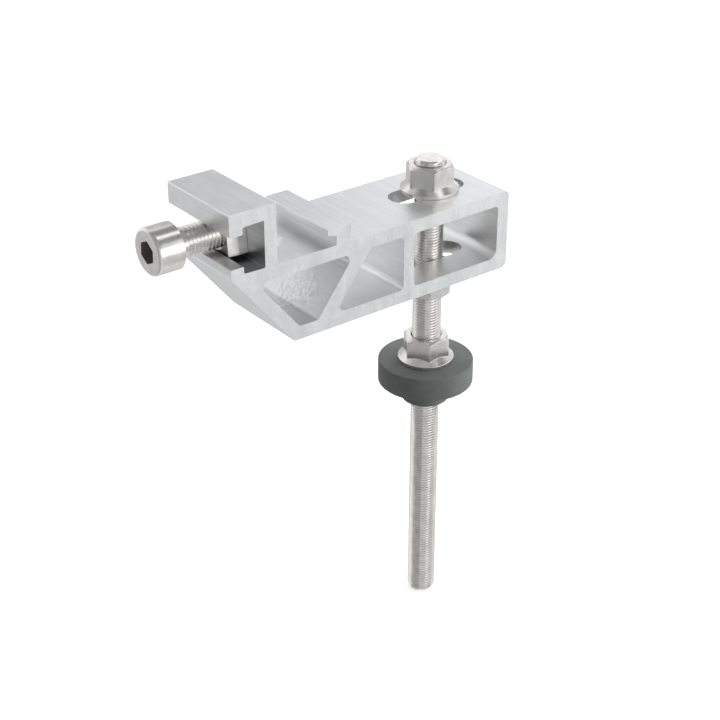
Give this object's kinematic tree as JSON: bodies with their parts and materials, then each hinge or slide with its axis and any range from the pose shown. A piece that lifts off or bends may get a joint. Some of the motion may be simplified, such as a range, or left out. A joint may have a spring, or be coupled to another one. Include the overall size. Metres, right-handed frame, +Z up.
{
  "type": "solar hanger bolt",
  "caption": "Threaded stud with a rubber roof seal, and an extruded arm clamped near its top that carries a rail seat, a fixed jaw and a hooked screw channel.",
  "frame": {"origin": "on the stud's axis, at the underside of the rubber seal's disc, which lies on the roof", "axes": "+Z up along the stud, +X along the arm away from the rail seat, Y along the extrusion and the rail"},
  "size_m": [0.1541, 0.04, 0.2174],
  "materials": {
    "aluminium": "bright mill finish with faint cloudy streaks",
    "stainless": "satin stainless, a little warm",
    "rubber": "matt dark grey"
  },
  "bodies": {
    "stud": {"threaded_stud": "stainless"},
    "under_nut": {"under_flange_nut": "stainless"},
    "top_nut": {"top_flange_nut": "stainless"},
    "arm": {"bracket": "aluminium"},
    "channel_nut": {"square_nut": "stainless"},
    "clamp_screw": {"cap_screw": "stainless"},
    "seal": {"rubber_seal": "rubber"},
    "seal_nut": {"seal_flange_nut": "stainless"}
  },
  "joints": [
    {"name": "arm_height", "type": "slide", "parent": "stud", "child": "under_nut", "axis": [0, 0, 1], "range_m": [-0.011, 0.002]},
    {"name": "arm_swivel", "type": "hinge", "parent": "under_nut", "child": "top_nut", "pos_m": [0, 0, 0.086], "axis": [0, 0, 1], "continuous": true},
    {"name": "arm_slot_slide", "type": "slide", "parent": "top_nut", "child": "arm", "axis": [1, 0, 0], "range_m": [-0.00935, 0.01285]},
    {"name": "channel_nut_slide", "type": "slide", "parent": "arm", "child": "channel_nut", "axis": [0, 1, 0], "range_m": [-0.0107, 0.0117]},
    {"name": "clamp_screw_turn", "type": "hinge", "parent": "channel_nut", "child": "clamp_screw", "pos_m": [-0.0963, -0.0005, 0.0953], "axis": [1, 0, 0], "range_deg": [-1260, 90]},
    {"name": "seal_slide", "type": "slide", "parent": "stud", "child": "seal", "axis": [0, 0, 1], "range_m": [-0.0901, 0.0076]},
    {"name": "seal_nut_turn", "type": "hinge", "parent": "seal", "child": "seal_nut", "pos_m": [0, 0, 0.01], "axis": [0, 0, 1], "range_deg": [-25920, 2160]}
  ],
  "couplings": [
    {"joint": "seal_slide", "follows": "seal_nut_turn", "m_per_rad": 0.00019894}
  ]
}
